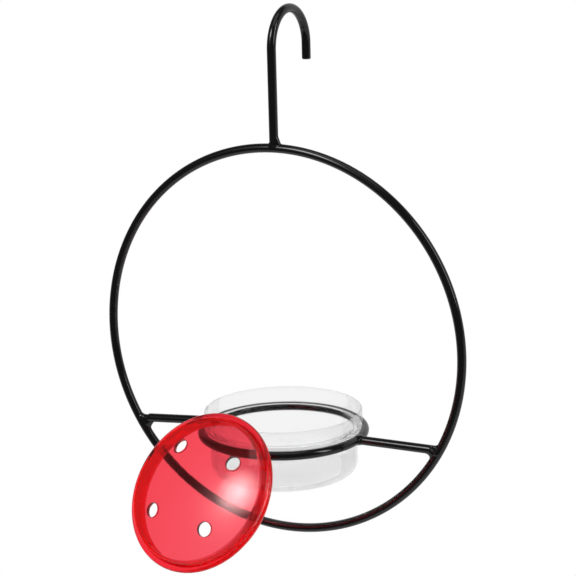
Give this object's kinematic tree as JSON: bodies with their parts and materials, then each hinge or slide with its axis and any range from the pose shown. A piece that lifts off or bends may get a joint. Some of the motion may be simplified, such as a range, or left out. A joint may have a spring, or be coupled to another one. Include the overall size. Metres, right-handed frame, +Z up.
{
  "type": "hanging hummingbird feeder",
  "caption": "Hanging nectar feeder: round wire hoop with a top hook and a crossbar ring holding a clear drop-in cup; its domed translucent lid with feeding ports leans in front, taken off.",
  "frame": {"origin": "hook seat: the top of the hook's inside bend, where the feeder hangs", "axes": "+Z up, the hoop lies in a plane square to Y, +Y the way the hook bends, +X along the crossbar"},
  "size_m": [0.2046, 0.1363, 0.2724],
  "materials": {
    "wire": "gloss",
    "clear_plastic": "clear gloss",
    "red_plastic": "translucent gloss"
  },
  "bodies": {
    "frame": {"hoop": "wire", "hook": "wire", "cup_ring": "wire", "left_bar": "wire", "right_bar": "wire", "hook_weld": "wire", "left_hoop_weld": "wire", "right_hoop_weld": "wire", "left_ring_weld": "wire", "right_ring_weld": "wire"},
    "cup": {"cup": "clear_plastic"},
    "lid": {"lid": "red_plastic"}
  },
  "joints": [
    {"name": "cup_lift", "type": "slide", "parent": "frame", "child": "cup", "axis": [0, 0, 1], "range_m": [0, 0.08]},
    {"name": "lid_away", "type": "slide", "parent": "frame", "child": "lid", "axis": [-0.1445, -0.8032, 0.5779], "range_m": [0, 0.1]}
  ]
}
